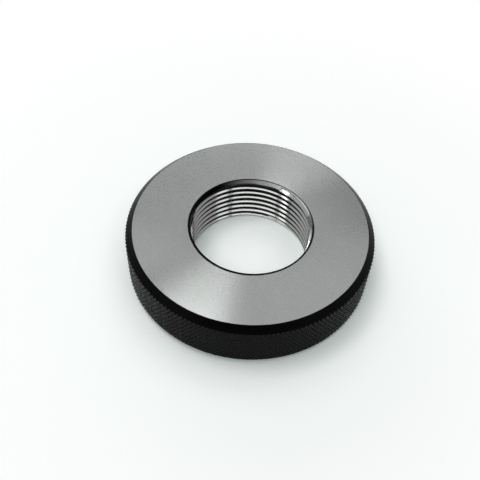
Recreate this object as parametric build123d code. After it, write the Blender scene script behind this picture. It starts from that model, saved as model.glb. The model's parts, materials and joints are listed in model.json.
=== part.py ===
from build123d import *
from build123d.topology import SkipClean
import os
from math import ceil, radians, tan

# Thread ring gauge for an M36 x 2 external thread.
# One ring of hardened gauge steel, turned, threaded and ground from a single blank.
# Millimetres, +Z up along the thread's axis, origin at the centre of the lower face.

# Blank
ring_diameter = 71.0        # over the rim
ring_thickness = 16.0       # from ground face to ground face
rim_chamfer = 2.0           # 45 degree chamfer between the rim and each face

# Thread, ISO metric profile
thread_diameter = 36.0      # nominal, at the root of the internal thread
thread_pitch = 2.0
flank_angle = 30.0          # each flank, from the plane square to the axis
crest_share = 1 / 4         # crest flat, as a share of the pitch
root_share = 1 / 8          # root flat, as a share of the pitch
start_angle = 180.0         # where the groove's helix crosses the lower face, about +Z from +X
start_depth = 0.65          # the groove stops, blunt, where its middle is this far from a face

# Bevels at the two mouths of the bore
mouth_relief = 0.05         # the mouth's edge lies this far outside the thread's root
mouth_angle = 45.0          # slope from the axis

# Making the thread
cutter_overlap = 0.25       # how far the groove's cutter reaches into the open bore
wall_sectors = 4            # the bore's wall is laid out as this many equal faces

# Sizes that follow
crest_flat = thread_pitch * crest_share
root_flat = thread_pitch * root_share
flank_slope = tan(radians(flank_angle))
thread_height = (thread_pitch - crest_flat - root_flat) / (2 * flank_slope)
root_radius = thread_diameter / 2
crest_radius = root_radius - thread_height
rim_radius = ring_diameter / 2
mouth_radius = root_radius + mouth_relief
mouth_depth = (mouth_radius - crest_radius) / tan(radians(mouth_angle))


def ring_section():
    """Half section of the blank, bored to the thread's crest and bevelled at both mouths."""
    face_radius = rim_radius - rim_chamfer
    outline = Polyline(
        (mouth_radius, 0),
        (face_radius, 0),
        (rim_radius, rim_chamfer),
        (rim_radius, ring_thickness - rim_chamfer),
        (face_radius, ring_thickness),
        (mouth_radius, ring_thickness),
        (crest_radius, ring_thickness - mouth_depth),
        (crest_radius, mouth_depth),
        close=True,
    )
    return Plane.XZ * make_face(outline)


def blank():
    """The turned ring in equal sectors, whose joins stay as seams on its faces."""
    sector_angle = 360 / wall_sectors
    sector = revolve(ring_section(), Axis.Z, sector_angle)
    first, *others = [Rot(0, 0, i * sector_angle) * sector for i in range(wall_sectors)]
    return first.fuse(*others)


def groove_piece(rise):
    """A stretch of the thread groove's cutter, starting on +X at height zero."""
    inner_radius = crest_radius - cutter_overlap
    inner_half = root_flat / 2 + (root_radius - inner_radius) * flank_slope
    profile = Polyline(
        (root_radius, -root_flat / 2),
        (root_radius, root_flat / 2),
        (inner_radius, inner_half),
        (inner_radius, -inner_half),
        close=True,
    )
    path = Helix(thread_pitch, rise, root_radius)
    return sweep(Plane.XZ * make_face(profile), path, is_frenet=True)


def groove():
    """The cutter from one blunt start to the other, in equal stretches of under a turn."""
    length = ring_thickness - 2 * start_depth
    count = ceil(length / thread_pitch)
    rise = length / count
    piece = groove_piece(rise)
    heights = [start_depth + i * rise for i in range(count)]
    return [Pos(0, 0, z) * Rot(0, 0, start_angle + 360 * z / thread_pitch) * piece for z in heights]


def gauge_ring():
    """The finished ring: the blank less the thread groove."""
    with SkipClean():
        return blank().cut(*groove())


os.makedirs("parts", exist_ok=True)
export_step(gauge_ring(), "parts/gauge_ring.step")
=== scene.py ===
import json
from collections import namedtuple
from math import cos, pi, radians, sin, tan

import bpy
import numpy as np
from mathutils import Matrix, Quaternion, Vector


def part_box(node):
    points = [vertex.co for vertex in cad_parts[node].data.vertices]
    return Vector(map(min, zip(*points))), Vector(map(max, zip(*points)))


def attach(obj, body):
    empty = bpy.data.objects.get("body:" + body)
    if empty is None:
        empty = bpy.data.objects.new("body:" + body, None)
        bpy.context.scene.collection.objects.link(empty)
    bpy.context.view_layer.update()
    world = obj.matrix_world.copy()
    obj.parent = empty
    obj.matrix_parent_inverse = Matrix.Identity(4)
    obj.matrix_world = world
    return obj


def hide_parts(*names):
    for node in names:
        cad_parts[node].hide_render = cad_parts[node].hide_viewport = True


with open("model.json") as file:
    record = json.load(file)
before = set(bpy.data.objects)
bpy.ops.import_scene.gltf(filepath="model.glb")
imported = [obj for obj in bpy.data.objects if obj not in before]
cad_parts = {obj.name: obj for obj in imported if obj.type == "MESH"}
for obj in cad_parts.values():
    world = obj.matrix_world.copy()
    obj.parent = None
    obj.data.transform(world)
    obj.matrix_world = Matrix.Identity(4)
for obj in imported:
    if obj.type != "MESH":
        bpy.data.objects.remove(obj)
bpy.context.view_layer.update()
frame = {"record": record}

MM = 0.001

# ---------------------------------------------------------------- sizes, in metres
low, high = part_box("gauge_ring")
mounts = {mount["name"]: mount for mount in frame["record"]["mounts"]}
rim_radius = (high.x - low.x) / 2
thickness = high.z - low.z
crest_radius = mounts["thread_bore"]["dims"]["r_mm"] * MM
wall_length = mounts["thread_bore"]["dims"]["length_mm"] * MM

rim_chamfer = 2.0 * MM
face_radius = rim_radius - rim_chamfer
edge_across = 0.14 * MM             # the chamfer's edge is broken this far into the face
edge_down = 0.02 * MM               # and this far down the chamfer
mouth_depth = (thickness - wall_length) / 2
mouth_radius = crest_radius + mouth_depth      # the mouth bevels slope at 45 degrees

# thread, ISO metric
pitch = 2.0 * MM
root_radius = 18.0 * MM
groove_at_base = radians(180)       # the groove crosses the lower face at -X
flank_share = 5 / 16                # axial length of a flank, as a share of the pitch
half_root_share = 1 / 16            # and of half a root flat
start_depth = 0.65 * MM             # the groove stops where its middle is this far from a face

# diamond knurl
knurl_count = 174
knurl_angle = radians(34)           # between the grooves of each hand and the axis
knurl_depth = 0.36 * MM
knurl_flat = 0.12                   # share of the half pitch left flat on each diamond
knurl_spacing = 2 * pi * rim_radius / knurl_count

# thin line round the mouth: its outer and inner edge, each a radius and its middle's x and y
mouth_circle = (mouth_radius - 0.13 * MM, 0.10 * MM, 0.0)
line_circle = (mouth_radius - 0.65 * MM, 0.24 * MM, 0.16 * MM)
line_drop = 0.03 * MM               # the inner edge lies this far under the ground face

# where the bore's finishes and its painted shade change, with angles about the axis from +X
lit_flank = (0.03 * MM, 0.56 * MM)          # a flank is lit steel this far out from the crest; deeper it has painted shade
root_lit_near_face = 1.4 * MM               # a groove this near a face is lit to its root, with no painted shade there
lit_side = radians(20)                # the upper bevel is bare steel and lit about this angle,
shade_below = -0.30                 # and painted black shade where the cosine of the angle to it is less
shade_reach = (0.9 * MM, 1.8 * MM)  # the painted shade ends this far below the bevel, least and most
shaded_turn_middle = radians(-35)          # the thread next to the bevel has painted shade about this angle,
shaded_turn_half = radians(55)             # this far to either side
shaded_turn_reach = 0.6 * MM               # and this far below the bevel

# ---------------------------------------------------------------- fineness of the mesh
columns_per_diamond = 6
rows_per_half_diamond = 3
rim_columns = knurl_count * columns_per_diamond
bore_ratio = 3                      # columns of the rim for each column of the bore
bore_columns = rim_columns // bore_ratio
spare_turns = 2                     # turns of rows past each face, before they are cut off
edge_rounds = 12                    # rounds that settle where the knurl meets a chamfer
bisections = 30                     # halvings that settle where the thread meets a bevel
bevel_zone = 1.2 * mouth_depth      # the thread and a bevel meet within this of a face
touching = 1e-7                     # points nearer than this are one
sharp_above = radians(24)

# rows of one pitch of thread, as shares of it from a groove's middle to the next
half_pitch_rows = [0, half_root_share, 0.14, 0.22, 0.30, half_root_share + flank_share, 7 / 16]
pitch_rows = half_pitch_rows + [0.5] + [1 - row for row in half_pitch_rows[:0:-1]]

# the ring's materials, in the order of their slots
GROUND, OXIDE_AND_SHADE, KNURL, BEVEL, FLANK, CREST_BLACK_AND_SHADE, SHADED_TURN = range(7)


# ---------------------------------------------------------------- ring mesh
class RingMesh:
    """Collects vertices and faces, with a material and a shading for each face."""

    def __init__(self):
        self.points = []
        self.faces = []
        self.materials = []
        self.smooth = []

    def add_points(self, points):
        start = len(self.points)
        self.points.extend(map(tuple, points))
        return np.arange(start, start + len(points))

    def add_face(self, corners, material, smooth=True):
        kept = [c for i, c in enumerate(corners) if c != corners[i - 1]]
        if len(kept) > 2:
            self.faces.append(kept)
            self.materials.append(material)
            self.smooth.append(smooth)

    def add_band(self, lower, upper, material):
        """Quads between two closed rings of as many vertices, facing out if upper is above."""
        count = len(lower)
        for i in range(count):
            j = (i + 1) % count
            self.add_face([lower[i], lower[j], upper[j], upper[i]], material)


def ring_points(radius, height, columns):
    """Points round the axis. radius and height are numbers or one value for each column."""
    angle = np.arange(columns) * 2 * pi / columns
    radius = np.broadcast_to(radius, columns)
    height = np.broadcast_to(height, columns)
    return np.stack([radius * np.cos(angle), radius * np.sin(angle), height], 1)


def circle_radius(circle, angle):
    """The distance from the axis, at an angle, of a circle that is a little off it."""
    radius, x, y = circle
    return radius + x * np.cos(angle) + y * np.sin(angle)


def knurl_drop(height):
    """How far the knurled surface lies under its crests, at one height for each column."""
    across = np.arange(rim_columns) / rim_columns * knurl_count
    along = height * tan(knurl_angle) / knurl_spacing
    nearest = [np.abs(c - np.round(c)) for c in (across + along, across - along)]
    share = np.minimum(*nearest) * 2 / (1 - knurl_flat)
    return knurl_depth * (1 - np.clip(share, 0, 1))


def build_rim(ring):
    """The knurled rim between its chamfers. Returns the lowest and highest ring of vertices."""
    step = knurl_spacing / 2 / tan(knurl_angle) / rows_per_half_diamond
    middle = thickness / 2
    half_rim = middle - rim_chamfer
    count = int((half_rim - step / 4) / step)
    heights = [np.full(rim_columns, i * step) for i in range(-count, count + 1)]
    for side in (-1, 1):
        edge = np.full(rim_columns, half_rim)
        for _ in range(edge_rounds):
            edge = half_rim + knurl_drop(side * edge)
        between = (edge + count * step) / 2
        if side > 0:
            heights += [between, edge]
        else:
            heights = [-edge, -between] + heights
    drops = [knurl_drop(h) for h in heights]
    rows = [
        ring.add_points(ring_points(rim_radius - drop, middle + h, rim_columns))
        for drop, h in zip(drops, heights)
    ]
    for k in range(len(rows) - 1):
        for i in range(rim_columns):
            j = (i + 1) % rim_columns
            corners = [rows[k][i], rows[k][j], rows[k + 1][j], rows[k + 1][i]]
            # each quad is split along the diagonal that changes less in depth
            rising = abs(drops[k][i] - drops[k + 1][j])
            falling = abs(drops[k][j] - drops[k + 1][i])
            first = 0 if rising <= falling else 1
            a, b, c, d = corners[first:] + corners[:first]
            ring.add_face([a, b, c], KNURL, smooth=False)
            ring.add_face([a, c, d], KNURL, smooth=False)
    return rows[0], rows[-1]


def groove_place(angle, height):
    """The nearest groove's depth below the nearer face, and its distance away in pitches."""
    advance = (angle - groove_at_base) / (2 * pi)
    turn = height / pitch - advance
    groove_height = (np.round(turn) + advance) * pitch
    depth = thickness / 2 - np.abs(groove_height - thickness / 2)
    return depth, np.abs(turn - np.round(turn))


def thread_radius(angle, height):
    """The bore's radius at an angle and height: root flat, 60 degree flanks and crest flat."""
    depth, from_groove = groove_place(angle, height)
    share = np.clip((from_groove - half_root_share) / flank_share, 0, 1)
    return root_radius - np.where(depth < start_depth, 1, share) * (root_radius - crest_radius)


def bevel_radius(angle, height):
    """The radius that the mouth bevels cut at a height: the crest's own between them."""
    from_face = np.minimum(height, thickness - height)
    radii = circle_radius(mouth_circle, angle), circle_radius(line_circle, angle), crest_radius
    return np.interp(from_face, (0, line_drop, mouth_depth), radii)


def bore_radius(angle, height):
    return np.maximum(thread_radius(angle, height), bevel_radius(angle, height))


def bevel_crossing(angle, lower, upper):
    """The height between two where thread and bevel cut equally deep, or None."""

    def thread_is_deeper(height):
        return float(thread_radius(angle, height) - bevel_radius(angle, height)) > 0

    starts_deeper = thread_is_deeper(lower)
    if thread_is_deeper(upper) == starts_deeper:
        return None
    for _ in range(bisections):
        middle = (lower + upper) / 2
        if thread_is_deeper(middle) == starts_deeper:
            lower = middle
        else:
            upper = middle
    return lower


def column_heights(angle):
    """Row heights of one column of the bore, from under the lower face to over the upper.

    They climb with the thread, and the nearest row moves to where thread and bevel cross.
    """
    turns = range(-spare_turns, int(thickness / pitch) + 1 + spare_turns)
    base = (angle - groove_at_base) / (2 * pi)
    heights = np.array([(turn + row + base) * pitch for turn in turns for row in pitch_rows])
    for k in range(len(heights) - 1):
        a, b = heights[k], heights[k + 1]
        outside = b <= line_drop or a >= thickness - line_drop
        if outside or (bevel_zone < a and b < thickness - bevel_zone):
            continue
        crossing = bevel_crossing(angle, max(a, line_drop), min(b, thickness - line_drop))
        if crossing is not None:
            nearer = k if crossing - a < b - crossing else k + 1
            heights[nearer] = crossing
    return heights


def bore_finish(angle, height):
    """The material of the bore's surface at an angle and height, painted shade included."""
    cut = thread_radius(angle, height)
    from_top = thickness - height
    toward_lit = cos(angle - lit_side)
    shade_to = mouth_depth + np.interp(-toward_lit, (-shade_below, 1), shade_reach)
    # painted shade: black on the side of the mouth away from the light, down into the thread
    if toward_lit < shade_below and from_top < shade_to:
        return OXIDE_AND_SHADE
    if bevel_radius(angle, height) > cut:
        return BEVEL
    # painted shade: a darker copy of the flank steel on the first turn, on one side
    if cos(angle - shaded_turn_middle) > cos(shaded_turn_half) and from_top < mouth_depth + shaded_turn_reach:
        return SHADED_TURN
    # crest flats stay black; deep flanks and roots are black as painted shade, except near a
    # face
    from_crest = cut - crest_radius
    near_face = groove_place(angle, height)[0] < root_lit_near_face
    lit_here = lit_flank[0] < from_crest and (near_face or from_crest < lit_flank[1])
    return FLANK if lit_here else CREST_BLACK_AND_SHADE


def build_bore(ring):
    """The threaded bore. Returns the rings of vertices at the lower and the upper mouth."""
    angles = np.arange(bore_columns) * 2 * pi / bore_columns
    line_radii = circle_radius(line_circle, angles)
    lower = ring.add_points(ring_points(line_radii, line_drop, bore_columns))
    upper = ring.add_points(ring_points(line_radii, thickness - line_drop, bore_columns))
    columns = []
    for i, angle in enumerate(angles):
        heights = column_heights(angle)
        radii = bore_radius(angle, heights)
        above = heights >= thickness - line_drop - touching
        inside = (heights > line_drop + touching) & ~above
        points = [
            (r * cos(angle), r * sin(angle), h) for r, h in zip(radii[inside], heights[inside])
        ]
        ids = np.full(len(heights), lower[i])
        ids[above] = upper[i]
        ids[inside] = ring.add_points(points)
        columns.append((ids, heights))
    # once round, the rows have climbed one pitch
    columns.append([values[len(pitch_rows):] for values in columns[0]])
    for i in range(bore_columns):
        (ids, heights), (next_ids, next_heights) = columns[i], columns[i + 1]
        angle = angles[i] + pi / bore_columns
        for k in range(min(len(ids), len(next_ids)) - 1):
            middle = (heights[k] + heights[k + 1] + next_heights[k] + next_heights[k + 1]) / 4
            corners = [next_ids[k], ids[k], ids[k + 1], next_ids[k + 1]]
            ring.add_face(corners, bore_finish(angle, middle))
    mouth_radii = circle_radius(mouth_circle, angles)
    mouth_lower = ring.add_points(ring_points(mouth_radii, 0, bore_columns))
    mouth_upper = ring.add_points(ring_points(mouth_radii, thickness, bore_columns))
    ring.add_band(lower, mouth_lower, OXIDE_AND_SHADE)
    ring.add_band(mouth_upper, upper, OXIDE_AND_SHADE)
    return mouth_lower, mouth_upper


def build_face(ring, outer, inner, upwards):
    """A flat ground face between the fine outer ring and the coarser ring of the mouth."""
    for i in range(bore_columns):
        j = (i + 1) % bore_columns
        arc = [outer[(i * bore_ratio + k) % rim_columns] for k in range(bore_ratio + 1)]
        corners = [inner[j], inner[i]] + arc
        ring.add_face(corners if upwards else corners[::-1], GROUND, smooth=False)


def build_ring():
    """The whole ring as one closed mesh."""
    ring = RingMesh()
    rim_lower, rim_upper = build_rim(ring)
    outlines = []
    for rim_edge, face_height, side in ((rim_lower, 0, -1), (rim_upper, thickness, 1)):
        cone_edge = ring.add_points(
            ring_points(face_radius + edge_down, face_height - side * edge_down, rim_columns))
        outline = ring.add_points(
            ring_points(face_radius - edge_across, face_height, rim_columns))
        for band in ((rim_edge, cone_edge), (cone_edge, outline)):
            ring.add_band(*band[::side], OXIDE_AND_SHADE)
        outlines.append(outline)
    mouths = build_bore(ring)
    for outline, mouth, upwards in zip(outlines, mouths, (False, True)):
        build_face(ring, outline, mouth, upwards)
    mesh = bpy.data.meshes.new("ring")
    mesh.from_pydata(ring.points, [], [list(map(int, face)) for face in ring.faces])
    mesh.validate()
    mesh.polygons.foreach_set("material_index", ring.materials)
    mesh.polygons.foreach_set("use_smooth", ring.smooth)
    mesh.set_sharp_from_angle(angle=sharp_above)
    mesh.update()
    return bpy.data.objects.new("ring", mesh)


# ---------------------------------------------------------------- materials
Place = namedtuple("Place", "point x y z radius")


class Surface:
    """A node material with a principled shader, and the node helpers that its detail needs."""

    def __init__(self, name):
        self.material = bpy.data.materials.new(name)
        self.material.use_nodes = True
        self.nodes = self.material.node_tree.nodes
        self.links = self.material.node_tree.links
        self.shader = self.nodes["Principled BSDF"]

    def set(self, **values):
        """Sets the shader's own sockets, named with _ for each space."""
        for name, value in values.items():
            self.shader.inputs[name.replace("_", " ")].default_value = value

    def math(self, operation, a, b=0.0):
        node = self.nodes.new("ShaderNodeMath")
        node.operation = operation
        for socket, value in zip(node.inputs, (a, b)):
            if isinstance(value, (int, float)):
                socket.default_value = value
            else:
                self.links.new(value, socket)
        return node.outputs[0]

    def weighted(self, *terms):
        """The sum of values, each times its weight."""
        total, *others = [self.math("MULTIPLY", value, weight) for value, weight in terms]
        for other in others:
            total = self.math("ADD", total, other)
        return total

    def place(self):
        """Where the surface is, in metres, with its distance from the axis."""
        point = self.nodes.new("ShaderNodeTexCoord").outputs["Object"]
        split = self.nodes.new("ShaderNodeSeparateXYZ")
        self.links.new(point, split.inputs[0])
        x, y, z = split.outputs
        squares = self.math("ADD", self.math("MULTIPLY", x, x), self.math("MULTIPLY", y, y))
        return Place(point, x, y, z, self.math("SQRT", squares))

    def noise(self, vector, scale, detail=2.0, roughness=0.5):
        node = self.nodes.new("ShaderNodeTexNoise")
        node.inputs["Scale"].default_value = scale
        node.inputs["Detail"].default_value = detail
        node.inputs["Roughness"].default_value = roughness
        self.links.new(vector, node.inputs["Vector"])
        return node.outputs[0]

    def lay(self, across, arc, per_metre):
        """Fine lines round the axis: noise drawn out over arcs of that many radians.

        They are stacked across the radius or the height, per_metre of them to a metre.
        """
        place = self.place()
        spot = self.nodes.new("ShaderNodeCombineXYZ")
        for socket, value in zip(spot.inputs, (place.x, place.y)):
            turned = self.math("DIVIDE", value, place.radius)
            self.links.new(self.math("DIVIDE", turned, arc), socket)
        stack = place.radius if across == "radius" else place.z
        self.links.new(self.math("MULTIPLY", stack, per_metre), spot.inputs[2])
        return self.noise(spot.outputs[0], scale=1.0, detail=3.0, roughness=0.6)

    def spread(self, value, low, high, start=0.35, end=0.65):
        """A value drawn out from start to end, where most noise lies, to low to high."""
        node = self.nodes.new("ShaderNodeMapRange")
        limits = {"From Min": start, "From Max": end, "To Min": low, "To Max": high}
        for name, number in limits.items():
            node.inputs[name].default_value = number
        self.links.new(value, node.inputs["Value"])
        return node.outputs[0]

    def colour(self, dark, light, share):
        mix = self.nodes.new("ShaderNodeMix")
        mix.data_type = "RGBA"
        mix.inputs["A"].default_value = (*dark, 1)
        mix.inputs["B"].default_value = (*light, 1)
        self.links.new(share, mix.inputs["Factor"])
        self.links.new(mix.outputs["Result"], self.shader.inputs["Base Color"])

    def bump(self, height, distance):
        node = self.nodes.new("ShaderNodeBump")
        node.inputs["Strength"].default_value = 1.0
        node.inputs["Distance"].default_value = distance
        self.links.new(height, node.inputs["Height"])
        self.links.new(node.outputs[0], self.shader.inputs["Normal"])

    def roughness(self, value):
        self.links.new(value, self.shader.inputs["Roughness"])


def scaled(colour, factor):
    return tuple(channel * factor for channel in colour)


def ground_face():
    """Ground steel, finished round the axis: a fine circular lay with a grain in it."""
    steel = Surface("ground_face")
    steel.set(Metallic=1.0, Anisotropic=0.95, Anisotropic_Rotation=0.25)
    tangent = steel.nodes.new("ShaderNodeTangent")
    tangent.direction_type = "RADIAL"
    tangent.axis = "Z"
    steel.links.new(tangent.outputs[0], steel.shader.inputs["Tangent"])
    point = steel.place().point
    grain = steel.noise(point, scale=2600.0, roughness=0.6)
    cloud = steel.noise(point, scale=160.0, detail=3.0)
    lines = steel.lay("radius", arc=0.12, per_metre=9000.0)
    mottle = steel.weighted((grain, 0.45), (lines, 0.40), (cloud, 0.15))
    base = (0.335, 0.346, 0.339)
    share = steel.spread(mottle, 0.0, 1.0, start=0.30, end=0.70)
    steel.colour(dark=scaled(base, 0.95), light=scaled(base, 1.05), share=share)
    steel.roughness(steel.spread(grain, 0.27, 0.34, start=0.35, end=0.70))
    steel.bump(grain, distance=0.01 * MM)
    return steel.material


def black_oxide_and_shade():
    """Turned chamfer under black oxide. It is the line round each mouth too, and the painted
    black shade on the bevel's far side and the thread under it.
    """
    black = Surface("black_oxide_and_shade")
    black.set(Specular_IOR_Level=0.035)
    lines = black.lay("radius", arc=0.3, per_metre=7000.0)
    black.colour(dark=(0.0006, 0.0006, 0.0008), light=(0.0018, 0.0018, 0.0024),
                 share=black.spread(lines, 0.0, 1.0))
    cloud = black.noise(black.place().point, scale=900.0)
    black.roughness(black.spread(cloud, 0.18, 0.26))
    black.bump(lines, distance=0.002 * MM)
    return black.material


def black_knurl():
    """Black oxide on the knurl, lighter on the tips of its diamonds: rubbed wear, and painted
    shade down in the grooves.
    """
    black = Surface("black_knurl")
    black.set(Specular_IOR_Level=0.09)
    place = black.place()
    # painted shade and wear: the colour lightens from the grooves out to the tips
    wear_and_shade_from = rim_radius - 0.45 * knurl_depth
    wear_and_groove_shade = black.spread(place.radius, 0.0, 1.0, start=wear_and_shade_from, end=rim_radius)
    speck = black.noise(place.point, scale=1500.0, detail=3.0, roughness=0.6)
    speck = black.spread(speck, 0.0, 1.0)
    kept = black.spread(speck, 0.55, 1.0, start=0.0, end=1.0)
    black.colour(dark=(0.0006, 0.0007, 0.0008), light=(0.006, 0.0063, 0.0063),
                 share=black.math("MULTIPLY", black.math("MULTIPLY", wear_and_groove_shade, wear_and_groove_shade), kept))
    black.roughness(black.spread(speck, 0.24, 0.32, start=0.0, end=1.0))
    return black.material


def ground_bevel():
    """The mouth bevel, turned and stained in patches, with painted shade making it darker away
    from its lit side.
    """
    steel = Surface("bevel")
    steel.set(Metallic=1.0)
    place = steel.place()
    patches = steel.noise(place.point, scale=1300.0, detail=3.0, roughness=0.65)
    lines = steel.lay("radius", arc=0.25, per_metre=6000.0)
    mottle = steel.weighted((patches, 0.6), (lines, 0.4))
    # painted shade: the colour darkens away from the lit side
    toward = steel.weighted((place.x, cos(lit_side)), (place.y, sin(lit_side)))
    toward = steel.math("DIVIDE", toward, place.radius)
    lit_share = steel.spread(toward, 0.05, 1.0, start=-0.35, end=1.0)
    clean = steel.spread(mottle, 0.62, 1.0, start=0.36, end=0.64)
    steel.colour(dark=(0.002, 0.002, 0.002), light=(0.80, 0.81, 0.80),
                 share=steel.math("MULTIPLY", clean, steel.math("MULTIPLY", lit_share, lit_share)))
    steel.roughness(steel.spread(patches, 0.20, 0.28))
    return steel.material


def ground_flank():
    """Thread flanks, lapped bright along the thread."""
    steel = Surface("ground_flank")
    steel.set(Metallic=1.0)
    lines = steel.lay("height", arc=0.35, per_metre=14000.0)
    steel.colour(dark=(0.62, 0.63, 0.62), light=(0.76, 0.77, 0.76),
                 share=steel.spread(lines, 0.0, 1.0))
    steel.roughness(steel.spread(lines, 0.16, 0.09))
    return steel.material


def black_crest_and_root_shade():
    """Crests of the thread, still black, and painted shade on the deep flanks and roots."""
    black = Surface("black_crest_and_root_shade")
    black.set(Specular_IOR_Level=0.15)
    stain = black.noise(black.place().point, scale=1800.0, detail=3.0, roughness=0.6)
    black.colour(dark=(0.004, 0.0045, 0.0045), light=(0.012, 0.0125, 0.0125),
                 share=black.spread(stain, 0.0, 1.0))
    black.roughness(black.spread(stain, 0.42, 0.30))
    return black.material


def shaded_turn():
    """The first turn where it runs close under the bevel: a darker copy of the flank steel,
    which is painted shade.
    """
    steel = Surface("shaded_turn")
    steel.set(Metallic=1.0)
    lines = steel.lay("height", arc=0.35, per_metre=9000.0)
    steel.colour(dark=(0.24, 0.245, 0.24), light=(0.32, 0.325, 0.32),
                 share=steel.spread(lines, 0.0, 1.0))
    steel.roughness(steel.spread(lines, 0.26, 0.20))
    return steel.material


# ---------------------------------------------------------------- floor, backdrop and room
white = (1, 1, 1, 1)
floor_size = 8.0
floor_drop = 0.02 * MM              # keeps the floor clear of the ring's underside
floor_glow = (0.11, 0.145, 0.13, 1)            # what the floor shows even in full shadow
white_from = (0.04, 0.13)           # the floor turns into the backdrop's white over these radii
backdrop_radius, backdrop_height, backdrop_sides = 3.9, 2.2, 96
room_light = 0.05


def seen_directly(surface):
    """1 for the rays of the camera, of gloss and of glass, and 0 for the light's own."""
    path = surface.nodes.new("ShaderNodeLightPath").outputs
    total = surface.math("MAXIMUM", path["Is Camera Ray"], path["Is Glossy Ray"])
    return surface.math("MAXIMUM", total, path["Is Transmission Ray"])


def glow(surface, colour):
    node = surface.nodes.new("ShaderNodeEmission")
    node.inputs["Color"].default_value = colour
    return node.outputs[0]


def join(surface, kind, *inputs):
    """A mix or sum of shaders, with its inputs in their own order."""
    node = surface.nodes.new(kind)
    for socket, value in zip(node.inputs, inputs):
        surface.links.new(value, socket)
    return node.outputs[0]


def show(surface, shown):
    """Gives the material another shader where it is seen, and its own for the light's rays."""
    seen = seen_directly(surface)
    total = join(surface, "ShaderNodeMixShader", seen, surface.shader.outputs[0], shown)
    surface.links.new(total, surface.nodes["Material Output"].inputs[0])


def build_floor():
    """Lit paper near the ring, which turns into the backdrop's white further out."""
    bpy.ops.mesh.primitive_plane_add(size=floor_size, location=(0, 0, -floor_drop))
    floor = bpy.context.object
    floor.name = "floor"
    surface = Surface("floor")
    surface.set(Base_Color=(0.9, 0.91, 0.905, 1), Roughness=0.7)
    paper = surface.nodes.new("ShaderNodeBsdfDiffuse")
    paper.inputs["Color"].default_value = white
    near = join(surface, "ShaderNodeAddShader", paper.outputs[0], glow(surface, floor_glow))
    start, end = white_from
    far = surface.spread(surface.place().radius, 0.0, 1.0, start=start, end=end)
    show(surface, join(surface, "ShaderNodeMixShader", far, near, glow(surface, white)))
    floor.data.materials.append(surface.material)


def build_backdrop():
    """A round white wall that stands about the floor."""
    bpy.ops.mesh.primitive_cylinder_add(
        vertices=backdrop_sides, radius=backdrop_radius, depth=backdrop_height,
        end_fill_type="NOTHING", location=(0, 0, backdrop_height / 2))
    wall = bpy.context.object
    wall.name = "backdrop"
    surface = Surface("backdrop")
    surface.set(Base_Color=(0.05, 0.05, 0.05, 1), Roughness=0.9)
    show(surface, glow(surface, white))
    wall.data.materials.append(surface.material)


def build_world():
    world = bpy.data.worlds.new("studio")
    bpy.context.scene.world = world
    world.use_nodes = True
    room = world.node_tree.nodes["Background"]
    room.inputs["Color"].default_value = white
    room.inputs["Strength"].default_value = room_light


# ---------------------------------------------------------------- lamps
ceiling = 1.0                       # height of the lamps that shine down
wall_distance = 2.4


def softbox(name, centre, aim, width, length, radiance):
    """A rectangular lamp of that radiance. Its width runs along X where it faces down."""
    lamp = bpy.data.lights.new(name, "AREA")
    lamp.shape = "RECTANGLE"
    lamp.size = width
    lamp.size_y = length
    lamp.energy = radiance * pi * width * length
    holder = bpy.data.objects.new(name, lamp)
    holder.location = centre
    holder.rotation_mode = "QUATERNION"
    holder.rotation_quaternion = (Vector(aim) - Vector(centre)).to_track_quat("-Z", "Y")
    holder.visible_camera = False
    bpy.context.scene.collection.objects.link(holder)


def ceiling_panel(name, x, y, radiance):
    """A panel of the ceiling that shines straight down, between its limits in x and y."""
    (left, right), (front, back) = x, y
    middle = (left + right) / 2, (front + back) / 2
    softbox(name, (*middle, ceiling), (*middle, 0), right - left, back - front, radiance)


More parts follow.
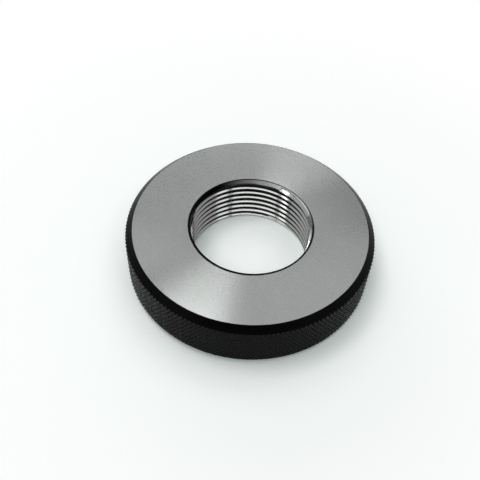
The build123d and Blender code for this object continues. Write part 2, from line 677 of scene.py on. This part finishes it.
def build_lamps():
    """The ceiling that the upper face mirrors, its three keys, and a wall behind the ring."""
    ceiling_panel("ceiling_middle", x=(-0.37, 0.37), y=(-0.40, -0.12), radiance=1.05)
    ceiling_panel("ceiling_rear", x=(-0.10, 0.43), y=(-0.10, 0.45), radiance=0.85)
    ceiling_panel("ceiling_back", x=(-0.70, 0.43), y=(0.45, 0.90), radiance=1.35)
    ceiling_panel("strip_left", x=(-0.62, -0.43), y=(-0.40, -0.10), radiance=1.1)
    ceiling_panel("strip_right", x=(0.43, 0.62), y=(-0.40, 0.90), radiance=1.0)
    ceiling_panel("ceiling_far_left", x=(-1.2, -0.62), y=(-0.9, 0.9), radiance=0.35)
    ceiling_panel("ceiling_far_right", x=(0.62, 1.2), y=(-0.9, 0.9), radiance=0.28)
    ceiling_panel("key", x=(-0.52, -0.10), y=(-0.10, 0.30), radiance=5.7)
    ceiling_panel("key_front", x=(-0.50, -0.12), y=(-0.90, -0.45), radiance=4.9)
    ceiling_panel("key_right", x=(0.40, 0.62), y=(-0.80, -0.45), radiance=4.0)
    ceiling_panel("corner_back_left", x=(-2.4, -0.9), y=(1.2, 2.4), radiance=1.1)
    ceiling_panel("corner_front_left", x=(-2.4, -1.2), y=(-2.4, -0.9), radiance=0.4)
    wall_x, middle = -0.7, ceiling / 2
    softbox("wall_back", centre=(wall_x, wall_distance, middle), aim=(wall_x, 0, middle),
            width=3.4, length=ceiling, radiance=2.6)


# ---------------------------------------------------------------- camera
camera_spot = Vector((0, -127.3, 164.8)) * MM
camera_aim = Vector((-2.66, -5.95, 16)) * MM   # a point of the upper face
camera_roll = radians(3.21)
camera_near = 5 * MM
image_width_px = 480
focal_length_px = 692.4
sensor_width = 36.0                 # in millimetres, as the camera takes it


def build_camera():
    """The camera, with its focal length given in pixels of the picture."""
    camera = bpy.data.cameras.new("camera")
    camera.sensor_fit = "HORIZONTAL"
    camera.sensor_width = sensor_width
    camera.lens = focal_length_px / image_width_px * sensor_width
    camera.clip_start = camera_near
    holder = bpy.data.objects.new("camera", camera)
    holder.location = camera_spot
    holder.rotation_mode = "QUATERNION"
    look = (camera_aim - camera_spot).to_track_quat("-Z", "Y")
    holder.rotation_quaternion = look @ Quaternion((0, 0, 1), camera_roll)
    bpy.context.scene.collection.objects.link(holder)
    bpy.context.scene.camera = holder


# ---------------------------------------------------------------- the object and its stage
ring = build_ring()
bpy.context.scene.collection.objects.link(ring)
for finish in (
    ground_face, black_oxide_and_shade, black_knurl, ground_bevel, ground_flank, black_crest_and_root_shade, shaded_turn
):
    ring.data.materials.append(finish())
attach(ring, "root")
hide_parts("gauge_ring")

build_floor()
build_backdrop()
build_world()
build_lamps()
build_camera()
bpy.context.scene.view_settings.view_transform = "Standard"
